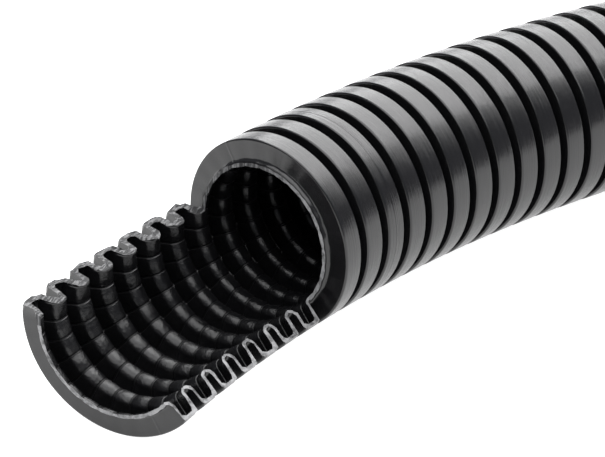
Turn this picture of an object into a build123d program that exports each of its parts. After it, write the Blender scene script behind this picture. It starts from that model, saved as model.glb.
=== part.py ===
from build123d import *
import os
from math import asin, cos, degrees, radians, sin, sqrt, tan

# Driving sizes in millimetres and degrees
outer_diameter = 25.0
wave_depth = 2.8
wall = 0.5
wave_pitch = 4.4
crest_share = 0.66
flank_draft = 2.0
crest_edge_bevel = 0.2
valley_root_bevel = 0.26
bend_radius = 188.0
cut_waves = 7
bent_waves = 16
straight_waves = 204
inner_cut_drop = 39.5
outer_cut_rise = 4.0

# Radii of the wave's levels
outer_radius = outer_diameter / 2
valley_radius = outer_radius - wave_depth
crest_inner_radius = outer_radius - wall
bore_radius = valley_radius - wall

# Half widths of one wave, measured from the middle of its crest
half_pitch = wave_pitch / 2
draft_slope = tan(radians(flank_draft))
flank_wall = wall / cos(radians(flank_draft))
crest_half = crest_share * half_pitch
foot_half = crest_half + wave_depth * draft_slope
crest_inner_half = crest_half + wall * draft_slope - flank_wall
foot_inner_half = crest_half + (wave_depth + wall) * draft_slope - flank_wall

# Bevels, each held within the flats it joins, and the bore's keeping the wall even
edge_bevel = min(crest_edge_bevel, 0.4 * wave_depth, 0.8 * crest_half)
root_bevel = min(valley_root_bevel, 0.5 * wave_depth, 0.8 * (half_pitch - foot_half))
nose_bevel = min(root_bevel + wall * (2 - sqrt(2)), 0.8 * (half_pitch - foot_inner_half))

# The bend: each wave stays straight and turns a little against the next, at the middle of the valley
wave_turn = 2 * asin(half_pitch / bend_radius)
bend_centre = (half_pitch, -bend_radius * cos(wave_turn / 2))
mitre_reach = outer_diameter * tan(wave_turn / 2)
straight_length = straight_waves * wave_pitch


def mirrored(half_wave):
    """A whole wave from its half, which runs from the valley up to the crest."""
    other_half = [(-x, radius) for x, radius in reversed(half_wave)]
    return half_wave + other_half


def wave_line(one_wave, waves):
    """The wave repeated along X, the first valley's middle at X = 0."""
    points = []
    for index in range(waves):
        middle = (index + 0.5) * wave_pitch
        points += [(middle + x, radius) for x, radius in one_wave]
    return points


def tube(waves, start, end):
    """A straight corrugated tube along X, with a flat in each valley and a plain cut at both ends."""
    outer_wave = mirrored(
        [
            (-foot_half - root_bevel, valley_radius),
            (-foot_half + root_bevel * draft_slope, valley_radius + root_bevel),
            (-crest_half - edge_bevel * draft_slope, outer_radius - edge_bevel),
            (-crest_half + edge_bevel, outer_radius),
        ]
    )
    inner_wave = mirrored(
        [
            (-foot_inner_half - nose_bevel, bore_radius),
            (-foot_inner_half + nose_bevel * draft_slope, bore_radius + nose_bevel),
            (-crest_inner_half, crest_inner_radius),
        ]
    )
    outside = [(start, valley_radius)] + wave_line(outer_wave, waves) + [(end, valley_radius)]
    inside = [(start, bore_radius)] + wave_line(inner_wave, waves) + [(end, bore_radius)]
    section = Face(Wire.make_polygon(outside + inside[::-1], close=True))
    return Solid.revolve(section, 360, Axis.X)


# One bent wave, mitred on both sides through the bend's centre
mitre_length = bend_radius + outer_diameter
mitre_half = mitre_length * tan(wave_turn / 2)
mitre_wedge = Polyline(
    bend_centre,
    (bend_centre[0] - mitre_half, bend_centre[1] + mitre_length),
    (bend_centre[0] + mitre_half, bend_centre[1] + mitre_length),
    close=True,
)
mitre_prism = extrude(make_face(mitre_wedge), outer_diameter, both=True)
closed_wave = tube(1, -mitre_reach, wave_pitch + mitre_reach) & mitre_prism

# The sector cut away at the near end, from below the middle inside the bend, over the top, to the outside
sector_start = -inner_cut_drop
sector_span = 180 - outer_cut_rise + inner_cut_drop
sector_points = [(0, 0)]
for step in range(4):
    angle = radians(sector_start + sector_span * step / 3)
    sector_points.append((-outer_diameter * cos(angle), outer_diameter * sin(angle)))
sector_face = Plane.YZ * make_face(Polyline(*sector_points, close=True))
sector_prism = extrude(sector_face, 2 * wave_pitch, both=True)
cut_wave = closed_wave - sector_prism

# The straight run, its first valley mitred to meet the bend
mitre_plane = Plane(
    origin=(0, 0, 0),
    x_dir=(-sin(wave_turn / 2), cos(wave_turn / 2), 0),
    z_dir=(cos(wave_turn / 2), sin(wave_turn / 2), 0),
)
straight_run = tube(straight_waves, -mitre_reach, straight_length).split(mitre_plane, keep=Keep.TOP)

# All waves in place along the bend
bend_axis = Axis((bend_centre[0], bend_centre[1], 0), (0, 0, 1))
bent_run = []
for index in range(1, bent_waves + cut_waves + 1):
    wave = closed_wave if index <= bent_waves else cut_wave
    bent_run.append(wave.rotate(bend_axis, index * degrees(wave_turn)))
conduit = straight_run.fuse(*bent_run)

# Laid on the floor, with the origin under the middle of its outline
bent_box = Compound(children=[Part(wave.wrapped) for wave in bent_run]).bounding_box()
middle_x = (bent_box.min.X + straight_length) / 2
middle_y = (bent_box.min.Y + outer_radius) / 2
conduit = conduit.moved(Location((-middle_x, -middle_y, outer_radius)))

os.makedirs("parts", exist_ok=True)
export_step(conduit, "parts/conduit.step")
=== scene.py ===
from math import asin, atan2, copysign, cos, hypot, pi, radians, sin, tan

import bmesh
import bpy
import numpy as np
from mathutils import Matrix, Vector


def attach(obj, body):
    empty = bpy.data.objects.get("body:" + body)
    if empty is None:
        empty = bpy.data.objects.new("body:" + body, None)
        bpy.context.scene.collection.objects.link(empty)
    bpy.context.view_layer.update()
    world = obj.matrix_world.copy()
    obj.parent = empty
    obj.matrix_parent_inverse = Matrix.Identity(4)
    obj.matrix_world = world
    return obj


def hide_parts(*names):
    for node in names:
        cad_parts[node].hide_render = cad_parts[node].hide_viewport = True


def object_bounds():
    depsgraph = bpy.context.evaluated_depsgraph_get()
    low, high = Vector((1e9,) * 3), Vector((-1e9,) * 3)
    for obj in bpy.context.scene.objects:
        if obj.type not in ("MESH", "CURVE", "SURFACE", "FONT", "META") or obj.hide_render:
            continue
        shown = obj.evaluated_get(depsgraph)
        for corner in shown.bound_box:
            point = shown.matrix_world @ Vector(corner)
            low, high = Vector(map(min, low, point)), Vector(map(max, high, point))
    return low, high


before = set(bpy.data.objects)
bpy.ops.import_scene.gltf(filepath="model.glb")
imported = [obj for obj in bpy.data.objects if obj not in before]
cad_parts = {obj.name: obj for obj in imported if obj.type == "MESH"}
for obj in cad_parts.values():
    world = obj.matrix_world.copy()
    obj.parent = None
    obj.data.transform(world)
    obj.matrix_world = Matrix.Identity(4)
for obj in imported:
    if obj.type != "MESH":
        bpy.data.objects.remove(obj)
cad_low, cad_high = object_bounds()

# The near stretch of the conduit: the cut-open end, the bend and the first straight waves.
# It is black plastic, pressed from a die as a hose and blown into moving mould blocks that shape its waves.
# One end was slit along two lines with a knife, so its cut edges are pale and a little ragged.
outer_radius = 0.0125
wave_depth = 0.0028
wall = 0.0005
wave_pitch = 0.0044
crest_share = 0.66
flank_slope = tan(radians(2.0))
root_rounding = 0.00045
crest_rounding = 0.00026
cavity_rounding = 0.0002
nose_rounding = 0.00092
bend_radius = 0.188
cut_waves = 7
bent_waves = 16
straight_waves = 204
near_straight_waves = 10

valley_radius = outer_radius - wave_depth
bore_radius = valley_radius - wall
crest_inner_radius = outer_radius - wall
half_pitch = wave_pitch / 2
crest_half = crest_share * half_pitch
foot_half = crest_half + wave_depth * flank_slope
crest_inner_half = crest_half - wall
foot_inner_half = crest_half + (wave_depth + wall) * flank_slope - wall

wave_turn = 2 * asin(half_pitch / bend_radius)
straight_length = straight_waves * wave_pitch
run_start = Vector((cad_high.x - straight_length, cad_high.y - outer_radius, outer_radius))
bend_centre = run_start + Vector((half_pitch, -bend_radius * cos(wave_turn / 2), 0))

slit_angle = radians(-39.2)
near_columns = 104
cut_columns = 42
mould_cells = 26
cell_shift = 0.331
border_share = 0.05
bead_depth = 0.0001
spin_gap = 2e-6
seam_gap = 4e-6
outside_slot, cut_slot, bore_slot = 0, 1, 2


def tube_place(points):
    """Waves along the tube from the bend's end, the angle round it and the distance from its middle."""
    points = np.asarray(points, float).reshape(-1, 3)
    off_x = points[:, 0] - bend_centre.x
    off_y = points[:, 1] - bend_centre.y
    swing = np.arctan2(-off_x, off_y)
    bent = swing > wave_turn / 2
    along = np.where(bent, 0.5 - swing / wave_turn, (points[:, 0] - run_start.x) / wave_pitch)
    side = np.where(bent, np.hypot(off_x, off_y) - bend_radius, points[:, 1] - run_start.y)
    height = points[:, 2] - run_start.z
    return along, np.arctan2(height, -side), np.hypot(side, height)


def edit(piece):
    """Opens one piece, and no other, in edit mode."""
    bpy.ops.object.select_all(action="DESELECT")
    piece.select_set(True)
    bpy.context.view_layer.objects.active = piece
    bpy.ops.object.mode_set(mode="EDIT")


def face_outward(piece):
    """Opens a piece and turns all its faces outwards."""
    edit(piece)
    bpy.ops.mesh.select_all(action="SELECT")
    bpy.ops.mesh.normals_make_consistent(inside=False)


def give_finish(piece, slot):
    """Gives what is selected one of the finishes, and leaves edit mode."""
    piece.active_material_index = slot
    bpy.ops.object.material_slot_assign()
    bpy.ops.mesh.select_mode(type="VERT")
    bpy.ops.object.mode_set(mode="OBJECT")


def pick_corners(piece, across, level):
    """Selects the section's corners that lie this far from the crest's middle, at this radius."""
    tolerance = 1e-6
    section = bmesh.from_edit_mesh(piece.data)
    bpy.ops.mesh.select_all(action="DESELECT")
    for vert in section.verts:
        radius = hypot(vert.co.y, vert.co.z)
        vert.select_set(abs(abs(vert.co.x) - across) < tolerance and abs(radius - level) < tolerance)
    bmesh.update_edit_mesh(piece.data)


def wave_ring(name, columns, swept, root_steps, nose_steps):
    """One wave of the wall: its section drawn point by point, rounded, and spun round the tube."""
    reach = half_pitch + outer_radius * tan(wave_turn)
    outline = [
        (-reach, valley_radius),
        (-foot_half, valley_radius),
        (-crest_half, outer_radius),
        (crest_half, outer_radius),
        (foot_half, valley_radius),
        (reach, valley_radius),
        (reach, bore_radius),
        (foot_inner_half, bore_radius),
        (crest_inner_half, crest_inner_radius),
        (-crest_inner_half, crest_inner_radius),
        (-foot_inner_half, bore_radius),
        (-reach, bore_radius),
    ]
    spots = [Vector((x, -r * cos(slit_angle), r * sin(slit_angle))) for x, r in outline]
    bpy.ops.object.select_all(action="DESELECT")
    bpy.ops.mesh.primitive_plane_add(size=wave_pitch)
    ring = bpy.context.object
    ring.name = name
    bpy.ops.object.mode_set(mode="EDIT")
    bpy.ops.mesh.select_all(action="SELECT")
    bpy.ops.mesh.merge(type="CENTER")
    bpy.ops.transform.translate(value=spots[0])
    for before, after in zip(spots, spots[1:]):
        bpy.ops.mesh.extrude_region_move(TRANSFORM_OT_translate={"value": after - before})
    section = bmesh.from_edit_mesh(ring.data)
    section.verts.ensure_lookup_table()
    bpy.ops.mesh.select_all(action="DESELECT")
    section.verts[0].select_set(True)
    section.verts[len(spots) - 1].select_set(True)
    bmesh.update_edit_mesh(ring.data)
    bpy.ops.mesh.edge_face_add()
    for across, level, rounding, steps in (
        (foot_half, valley_radius, root_rounding, root_steps),
        (crest_half, outer_radius, crest_rounding, root_steps),
        (crest_inner_half, crest_inner_radius, cavity_rounding, 1),
        (foot_inner_half, bore_radius, nose_rounding, nose_steps),
    ):
        pick_corners(ring, across, level)
        bpy.ops.mesh.bevel(offset=rounding, segments=steps, affect="VERTICES")
    bpy.ops.mesh.select_all(action="SELECT")
    bpy.ops.mesh.spin(steps=swept, angle=2 * pi * swept / columns, center=(0, 0, 0), axis=(-1, 0, 0))
    bpy.ops.mesh.select_all(action="SELECT")
    bpy.ops.mesh.remove_doubles(threshold=spin_gap)
    bpy.ops.object.mode_set(mode="OBJECT")
    return ring


def copy_ring(ring):
    """A second ring like the first, with its own mesh."""
    other = ring.copy()
    other.data = ring.data.copy()
    bpy.context.collection.objects.link(other)
    return other


def line_bore(ring):
    """Gives the faces that look into the bore their own finish."""
    face_outward(ring)
    bpy.ops.mesh.select_mode(type="FACE")
    bpy.ops.mesh.select_all(action="DESELECT")
    body = bmesh.from_edit_mesh(ring.data)
    for face in body.faces:
        middle = face.calc_center_median()
        outward = Vector((0, middle.y, middle.z)).normalized()
        outward.x = copysign(1.0, middle.x)
        face.select_set(face.material_index == outside_slot and face.normal.dot(outward) < 0)
    bmesh.update_edit_mesh(ring.data)
    give_finish(ring, bore_slot)


def press_cells(ring):
    """Presses the borders of the mould's cells into the bore's noses, which leaves a row of low beads."""
    face_outward(ring)
    bpy.ops.mesh.select_all(action="DESELECT")
    body = bmesh.from_edit_mesh(ring.data)
    for vert in body.verts:
        cell = atan2(vert.co.z, -vert.co.y) / (2 * pi) * mould_cells + cell_shift
        on_border = abs(cell - round(cell)) < border_share
        vert.select_set(on_border and hypot(vert.co.y, vert.co.z) < bore_radius + 2 * wall)
    bmesh.update_edit_mesh(ring.data)
    bpy.ops.transform.shrink_fatten(value=-bead_depth)
    bpy.ops.object.mode_set(mode="OBJECT")


def trim(ring, side, turn):
    """Cuts a ring off, square or slanted by a turn, in the middle of the valley on one side."""
    edit(ring)
    bpy.ops.mesh.select_all(action="SELECT")
    bpy.ops.mesh.bisect(
        plane_co=(side * half_pitch, 0, 0),
        plane_no=(side * cos(turn), -sin(turn), 0),
        clear_outer=True,
        threshold=1e-7,
    )
    bpy.ops.object.mode_set(mode="OBJECT")


def put(ring, index):
    """Moves a ring from the origin to its place, counted from the first straight wave round the bend."""
    there = run_start + Vector((half_pitch, 0, 0))
    swing = Matrix.Translation(bend_centre) @ Matrix.Rotation(index * wave_turn, 4, "Z")
    ring.matrix_world = swing @ Matrix.Translation(there - bend_centre)
    bpy.ops.object.select_all(action="DESELECT")
    ring.select_set(True)
    bpy.context.view_layer.objects.active = ring
    bpy.ops.object.transform_apply(location=True, rotation=True, scale=True)


def apply_row(ring, count, **offset):
    """Repeats a ring with an array, its seams merged."""
    row = ring.modifiers.new("row", "ARRAY")
    row.count = count
    row.use_relative_offset = False
    for setting, value in offset.items():
        setattr(row, setting, value)
    row.use_merge_vertices = True
    row.merge_threshold = seam_gap
    bpy.context.view_layer.objects.active = ring
    bpy.ops.object.modifier_apply(modifier=row.name)


def join_rings(rings):
    """Joins runs of waves into one piece and merges their seams."""
    bpy.ops.object.select_all(action="DESELECT")
    for ring in rings:
        ring.select_set(True)
    bpy.context.view_layer.objects.active = rings[0]
    bpy.ops.object.join()
    bpy.ops.object.mode_set(mode="EDIT")
    bpy.ops.mesh.select_all(action="SELECT")
    bpy.ops.mesh.remove_doubles(threshold=seam_gap)
    bpy.ops.object.mode_set(mode="OBJECT")
    return rings[0]


def close_end(piece, wave):
    """Closes the wall where it was sawn across, with the cut finish."""
    slack, steepest = 0.06, 0.85
    edit(piece)
    bpy.ops.mesh.select_mode(type="EDGE")
    bpy.ops.mesh.select_all(action="DESELECT")
    body = bmesh.from_edit_mesh(piece.data)
    for edge in body.edges:
        if edge.is_boundary:
            along, _, radius = tube_place([vert.co for vert in edge.verts])
            level = abs(radius[0] - radius[1]) < edge.calc_length() * steepest
            edge.select_set(bool(level and np.all(np.abs(along - wave) < slack)))
    bmesh.update_edit_mesh(piece.data)
    bpy.ops.mesh.bridge_edge_loops()
    give_finish(piece, cut_slot)


def pick_slit(ring, side, wanted):
    """Selects what a test names among the edges of one lengthwise cut."""
    bpy.ops.mesh.select_mode(type="EDGE")
    bpy.ops.mesh.select_all(action="DESELECT")
    body = bmesh.from_edit_mesh(ring.data)
    for edge in body.edges:
        middle = (edge.verts[0].co + edge.verts[1].co) / 2
        edge.select_set(middle.y * side > 0 and wanted(edge))
    bmesh.update_edit_mesh(ring.data)


def close_slit(ring, side):
    """Closes the wall where it was slit lengthwise, with the cut finish."""
    edit(ring)
    pick_slit(ring, side, lambda edge: edge.is_boundary)
    bpy.ops.mesh.edge_face_add()
    give_finish(ring, cut_slot)


def on_slit(edge):
    """Whether an edge borders a lengthwise cut."""
    return any(face.material_index == cut_slot for face in edge.link_faces)


def in_groove(edge):
    """Whether an edge of a cut lies on the outside of the wall, between two crests."""
    spots = [(abs(vert.co.x), hypot(vert.co.y, vert.co.z)) for vert in edge.verts]
    low, high = bore_radius + wall * 0.8, outer_radius - wall * 0.4
    return on_slit(edge) and all(x > crest_half - wall / 2 and low < r < high for x, r in spots)


def flare_slit(ring, side, spread, wanted):
    """Spreads the rim of a lengthwise cut, as a blade does that drags the plastic."""
    face_outward(ring)
    pick_slit(ring, side, wanted)
    bpy.ops.transform.shrink_fatten(value=spread)
    bpy.ops.mesh.select_mode(type="VERT")
    bpy.ops.object.mode_set(mode="OBJECT")


class Finish:
    """A value in a material's node tree. Sums on it are written as Python and become Math nodes."""

    def __init__(self, tree, socket=None):
        self.tree = tree
        self.socket = socket

    def node(self, kind, settings=None, sockets=None, output=0):
        """Any node, from its type, its settings and the values or links of its sockets."""
        made = self.tree.nodes.new(kind)
        for name, setting in (settings or {}).items():
            setattr(made, name, setting)
        for name, given in (sockets or {}).items():
            if isinstance(given, Finish):
                self.tree.links.new(given.socket, made.inputs[name])
            else:
                made.inputs[name].default_value = given
        return Finish(self.tree, made.outputs[output])

    def sum(self, operation, first, second):
        return self.node("ShaderNodeMath", {"operation": operation}, {0: first, 1: second})

    def __add__(self, other):
        return self.sum("ADD", self, other)

    def __radd__(self, other):
        return self.sum("ADD", other, self)

    def __sub__(self, other):
        return self.sum("SUBTRACT", self, other)

    def __rsub__(self, other):
        return self.sum("SUBTRACT", other, self)

    def __mul__(self, other):
        return self.sum("MULTIPLY", self, other)

    def __rmul__(self, other):
        return self.sum("MULTIPLY", other, self)

    def __truediv__(self, other):
        return self.sum("DIVIDE", self, other)

    def __rtruediv__(self, other):
        return self.sum("DIVIDE", other, self)

    def part(self):
        """What is left of it above a whole number."""
        return self.sum("FRACT", self, 0.0)

    def whole(self):
        """The whole number below it."""
        return self.sum("FLOOR", self, 0.0)

    def size(self):
        """Its size without its sign."""
        return self.sum("ABSOLUTE", self, 0.0)

    def pair(self, other):
        """A place on a plane, from it and another value."""
        return self.node("ShaderNodeCombineXYZ", {}, {0: self, 1: other})

    def along(self, line):
        """How far a place lies along a line from the origin."""
        return self.node("ShaderNodeVectorMath", {"operation": "DOT_PRODUCT"}, {0: self, 1: line}, 1)

    def blend(self, start, end):
        """A colour between two others, of which it gives the second one's share."""
        return self.node("ShaderNodeMix", {"data_type": "RGBA"}, {0: self, 6: start, 7: end}, 2)

    def step(self, low, high, start=0.0, end=1.0):
        """Rises smoothly from start to end between low and high."""
        return self.node(
            "ShaderNodeMapRange",
            {"interpolation_type": "SMOOTHSTEP"},
            {"Value": self, "From Min": low, "From Max": high, "To Min": start, "To Max": end},
        )


def new_finish(name):
    """An empty material, its shader, and the place that its patterns start from."""
    material = bpy.data.materials.new(name)
    material.use_nodes = True
    tree = material.node_tree
    place = Finish(tree).node("ShaderNodeTexCoord", output=3)
    return material, tree.nodes["Principled BSDF"], place


def noise(place, scale, detail, roughness=0.5):
    sockets = {"Vector": place, "Scale": scale, "Detail": detail, "Roughness": roughness}
    return place.node("ShaderNodeTexNoise", {}, sockets)


def link(shader, name, value):
    value.tree.links.new(value.socket, shader.inputs[name])


def map_places(place):
    """The turns round the tube and the waves along it, from the piece's own map."""
    tube_map = place.node("ShaderNodeUVMap", {"uv_map": "tube_map"})
    return [tube_map.node("ShaderNodeSeparateXYZ", {}, {"Vector": tube_map}, axis) for axis in (0, 1)]


def black_shade(place):
    """Near black, a little greyer where dust lies."""
    dust = noise(place, 420.0, 5.0, 0.7).step(0.56, 0.74)
    return (dust * 0.4).blend((0.0045, 0.0045, 0.005, 1), (0.02, 0.019, 0.019, 1))


def rough_up(shader, height, relief):
    """Bumps a finish by a height, counted in units of its relief."""
    link(shader, "Normal", height.node("ShaderNodeBump", {}, {"Height": height, "Distance": relief}))


skin_relief = 0.000042
cut_relief = 0.000096

black_plastic, shader, place = new_finish("black_plastic")
round_turns, wave_count = map_places(place)
parting_line = ((round_turns * 2 + 0.33).part() - 0.5).size().step(0.494, 0.4985)
block_line = ((wave_count / 20 + 0.175).part() - 0.5).size().step(0.0016, 0.0006)
ripple = noise(place, 300.0, 3.0)
grain = noise(place, 2600.0, 2.0)
streak = noise((round_turns * 1.5).pair(wave_count * 6.0), 4.0, 3.0, 0.6)
link(shader, "Base Color", black_shade(place))
link(shader, "Roughness", 0.17 + ripple * 0.08)
mould_lines = parting_line * 0.5 + block_line * 0.6
rough_up(shader, ripple * 1.1 + grain * 0.03 + streak * 0.9 + mould_lines, skin_relief)

bore_plastic, shader, place = new_finish("bore_plastic")
round_turns, wave_count = map_places(place)
cells = round_turns * mould_cells + cell_shift
valleys = wave_count + 0.5
in_cell = cells.part() - 0.5
nose = (valleys.part() - 0.5).size().step(0.33, 0.27)
cell_line = nose * in_cell.size().step(0.415, 0.48)
cell_place = cells.whole().pair(valleys.whole())
cell_tone = place.node("ShaderNodeTexWhiteNoise", {"noise_dimensions": "2D"}, {"Vector": cell_place})
ripple = noise(place, 300.0, 3.0)
blotch = noise(place, 1700.0, 4.0, 0.65)
link(shader, "Base Color", black_shade(place))
link(shader, "Roughness", 0.12 + ripple * 0.08 + cell_tone * 0.06 + cell_line * 0.15)
shader.inputs["Specular IOR Level"].default_value = 0.36
bead = in_cell * ((cell_tone - 0.5) * 5.0 - in_cell * 12.0)
rough_up(shader, ripple * 0.4 + nose * (blotch * 2.6 + bead) - cell_line * 3.3, skin_relief)

cut_plastic, shader, place = new_finish("cut_plastic")
round_turns = map_places(place)[0]
lengthwise = place.along((0.88, 0.47, 0))
crosswise = place.along((-0.47, 0.88, 0))
smear = noise(place, 900.0, 4.0, 0.7)
torn = noise(place, 4200.0, 3.0, 0.6)
dragged = noise((lengthwise * 0.25).pair(crosswise), 2600.0, 2.0, 0.6)
outer_slit = round_turns.step(0.1, 0.3)
clean = dragged.step(0.46, 0.55) * outer_slit * 0.6 + (1 - outer_slit)
paleness = clean * smear.step(0.25, 0.65)
link(shader, "Base Color", paleness.blend((0.018, 0.018, 0.019, 1), (0.28, 0.28, 0.284, 1)))
link(shader, "Roughness", 0.4 + torn * 0.25)
shader.inputs["Specular IOR Level"].default_value = 0.3
rough_up(shader, smear + torn * 0.5 + dragged * outer_slit * 3.0, cut_relief)


def add_finishes(piece):
    """The outside's, the cuts' and the bore's finish, in the order of their slots."""
    for finish in (black_plastic, cut_plastic, bore_plastic):
        piece.data.materials.append(finish)


bent_ring = wave_ring("conduit_near", near_columns, near_columns, root_steps=2, nose_steps=4)
square_ring = copy_ring(bent_ring)
first_ring = copy_ring(bent_ring)
cut_ring = wave_ring("cut_ring", near_columns, cut_columns, root_steps=2, nose_steps=4)
near_rings = (bent_ring, square_ring, first_ring, cut_ring)
for ring in near_rings:
    add_finishes(ring)
close_slit(cut_ring, -1)
close_slit(cut_ring, 1)
for ring in near_rings:
    line_bore(ring)
    press_cells(ring)
flare_slit(cut_ring, side=-1, spread=-0.00011, wanted=on_slit)
flare_slit(cut_ring, side=1, spread=0.0002, wanted=on_slit)
flare_slit(cut_ring, side=1, spread=0.00036, wanted=in_groove)

for ring in (bent_ring, cut_ring):
    trim(ring, -1, wave_turn / 2)
    trim(ring, 1, wave_turn / 2)
trim(first_ring, -1, wave_turn / 2)
trim(first_ring, 1, 0)
trim(square_ring, -1, 0)
trim(square_ring, 1, 0)

swing = Matrix.Translation(bend_centre) @ Matrix.Rotation(wave_turn, 4, "Z")
bpy.ops.object.empty_add()
bend_step = bpy.context.object
bend_step.matrix_world = swing @ Matrix.Translation(-bend_centre)
bpy.context.view_layer.update()
put(bent_ring, 1)
apply_row(bent_ring, bent_waves, use_object_offset=True, offset_object=bend_step)
put(cut_ring, bent_waves + 1)
apply_row(cut_ring, cut_waves, use_object_offset=True, offset_object=bend_step)
put(first_ring, 0)
put(square_ring, 0)
square_ring.data.transform(Matrix.Translation((wave_pitch, 0, 0)))
pitch_step = {"use_constant_offset": True, "constant_offset_displace": (wave_pitch, 0, 0)}
apply_row(square_ring, near_straight_waves - 1, **pitch_step)
bpy.data.objects.remove(bend_step)

conduit_near = join_rings([bent_ring, cut_ring, first_ring, square_ring])
for wave in (-bent_waves - cut_waves, -bent_waves, near_straight_waves):
    close_end(conduit_near, wave)


def fray(piece, side, amount, rounds, seed):
    """Moves a lengthwise cut's corners at random and rounds their line, as a dragged blade leaves it."""
    burr = 0.00006
    slack, least_length = 0.1, 0.2
    edit(piece)
    bpy.ops.mesh.select_all(action="DESELECT")
    body = bmesh.from_edit_mesh(piece.data)
    for face in body.faces:
        along, angle, _ = tube_place([vert.co for vert in face.verts])
        lengthwise_cut = along.min() < slack - bent_waves and np.ptp(along) > least_length
        on_side = np.all(np.cos(angle) * side < 0)
        face.select_set(bool(face.material_index == cut_slot and lengthwise_cut and on_side))
    bmesh.update_edit_mesh(piece.data)
    bpy.ops.transform.vertex_random(offset=amount, seed=seed)
    bpy.ops.mesh.vertices_smooth(factor=0.5, repeat=rounds, xaxis=True, yaxis=True, zaxis=False)
    bpy.ops.transform.vertex_random(offset=burr, seed=seed + 1)
    bpy.ops.object.mode_set(mode="OBJECT")


def finish_tube(piece):
    sharp_angle = radians(50)
    face_outward(piece)
    bpy.ops.object.mode_set(mode="OBJECT")
    bpy.ops.object.shade_smooth_by_angle(angle=sharp_angle)
    even = piece.modifiers.new("even", "WEIGHTED_NORMAL")
    even.keep_sharp = True
    bpy.ops.object.modifier_apply(modifier=even.name)
    mesh = piece.data
    points = np.empty(len(mesh.vertices) * 3, np.float32)
    mesh.vertices.foreach_get("co", points)
    along, angle, _ = tube_place(points)
    turns = angle / (2 * pi)
    corner_vert = np.empty(len(mesh.loops), np.int32)
    mesh.loops.foreach_get("vertex_index", corner_vert)
    starts = np.empty(len(mesh.polygons), np.int32)
    mesh.polygons.foreach_get("loop_start", starts)
    corners = np.diff(np.append(starts, len(mesh.loops)))
    first_turn = np.repeat(turns[corner_vert[starts]], corners)
    corner_turn = turns[corner_vert]
    corner_turn = corner_turn - np.round(corner_turn - first_turn)
    tube_uv = np.stack([corner_turn, along[corner_vert]], 1).astype(np.float32)
    mesh.uv_layers.new(name="tube_map").data.foreach_set("uv", tube_uv.ravel())
    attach(piece, "root")
    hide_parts("conduit")


fray(conduit_near, side=1, amount=0.0003, rounds=3, seed=5)
fray(conduit_near, side=-1, amount=0.0001, rounds=1, seed=8)
finish_tube(conduit_near)

# The long plain stretch of the conduit beyond the bend, in two runs of the same waves.
# It is the same black plastic off the same mould blocks, laid straight, and sawn square at its far end.
far_columns = 48
split_wave = (near_straight_waves + straight_waves) // 2
for name, first_wave, last_wave in (
    ("conduit_middle", near_straight_waves, split_wave),
    ("conduit_far", split_wave, straight_waves),
):
    run = wave_ring(name, far_columns, far_columns, root_steps=1, nose_steps=2)
    add_finishes(run)
    line_bore(run)
    trim(run, -1, 0)
    trim(run, 1, 0)
    put(run, 0)
    run.data.transform(Matrix.Translation((first_wave * wave_pitch, 0, 0)))
    apply_row(run, last_wave - first_wave, **pitch_step)
    close_end(run, first_wave)
    close_end(run, last_wave)
    finish_tube(run)

# The white studio table that the conduit lies on, which isn't part of it.
# It is a wide plain sheet of matt plastic, lit through from below so that no hard shadow falls on it.
floor_width = 60.0
bpy.ops.object.select_all(action="DESELECT")
bpy.ops.mesh.primitive_plane_add(size=floor_width)
floor = bpy.context.object
floor.name = "floor"
white_board, shader = new_finish("white_board")[:2]
shader.inputs["Base Color"].default_value = (0.4, 0.4, 0.4, 1)
shader.inputs["Roughness"].default_value = 0.9
shader.inputs["Emission Color"].default_value = (1, 1, 1, 1)
shader.inputs["Emission Strength"].default_value = 1.0
floor.data.materials.append(white_board)

# The camera, at the photo's place and angle: to the right of the cut-open end and above it.
# Its place is counted from the shoulder, where the closed tube begins, in diameters of the tube.
diameter = 2 * outer_radius
camera_distance = 12.485 * diameter
photo_width = 605
focal_pixels = 2544
sensor_width = 36
shoulder_swing = (bent_waves + 0.33) * wave_turn
shoulder = bend_centre + Vector((-sin(shoulder_swing), cos(shoulder_swing), 0)) * bend_radius
heading = Vector((cos(shoulder_swing), sin(shoulder_swing), 0))
right = Vector((sin(shoulder_swing), -cos(shoulder_swing), 0))
up = Vector((0, 0, 1))


def studio(rightward, forward, upward):
    """A direction given to the right of, along and above the tube at its shoulder."""
    return right * rightward + heading * forward + up * upward


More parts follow.
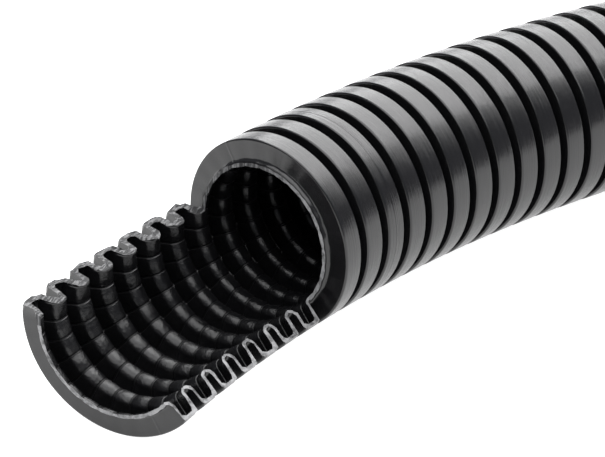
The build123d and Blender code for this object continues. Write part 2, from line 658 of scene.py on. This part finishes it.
azimuth, elevation = radians(38.55), radians(27.42)
target = shoulder + studio(0.093, 0.166, 0) * diameter
back = studio(sin(azimuth) * cos(elevation), -cos(azimuth) * cos(elevation), sin(elevation))
bpy.ops.object.camera_add()
camera = bpy.context.object
camera.data.lens = focal_pixels / photo_width * sensor_width
camera.data.sensor_width = sensor_width
camera.data.clip_start = 0.01
camera.data.clip_end = 50
camera.location = target + back * camera_distance
camera.rotation_euler = back.to_track_quat("Z", "Y").to_euler()
bpy.context.scene.camera = camera

# Soft studio light: a wide panel behind the conduit in five fields and a low one beside it, which its crests
# mirror, a large panel overhead, and a dim room.
behind = studio(-0.159, 0.783, 0.602)
beside = studio(-0.75, 0.65, 0.17)
above = studio(0.1, -0.2, 1.0)
for name, direction, distance, width, tall, glow, aside, lift in (
    ("back_left", behind, 1.0, 0.568, 0.6, 4.2, 0.384, -0.1),
    ("back_middle", behind, 1.0, 0.4, 0.6, 4.2, -0.1, -0.1),
    ("back_right", behind, 1.0, 0.35, 0.6, 3.0, -0.475, -0.1),
    ("back_edge", behind, 1.0, 0.3, 0.95, 1.5, -0.8, 0.075),
    ("back_top", behind, 1.0, 1.318, 0.35, 7.0, 0.009, 0.375),
    ("side", beside, 1.0, 0.7, 0.4, 0.9, 0.0, 0.0),
    ("overhead", above, 1.1, 1.6, 1.6, 3.2, 0.0, 0.0),
):
    bpy.ops.object.light_add(type="AREA")
    panel = bpy.context.object
    panel.name = name
    panel.data.shape = "RECTANGLE"
    panel.data.size = width
    panel.data.size_y = tall
    panel.data.energy = glow * pi * width * tall
    facing = direction.to_track_quat("Z", "Y")
    panel.location = target + direction.normalized() * distance + facing @ Vector((aside, lift, 0))
    panel.rotation_euler = facing.to_euler()

room = bpy.data.worlds.new("room")
bpy.context.scene.world = room
room.use_nodes = True
room.node_tree.nodes["Background"].inputs["Color"].default_value = (0.9, 0.92, 1.0, 1)
room.node_tree.nodes["Background"].inputs["Strength"].default_value = 0.3
bpy.context.scene.view_settings.view_transform = "Standard"
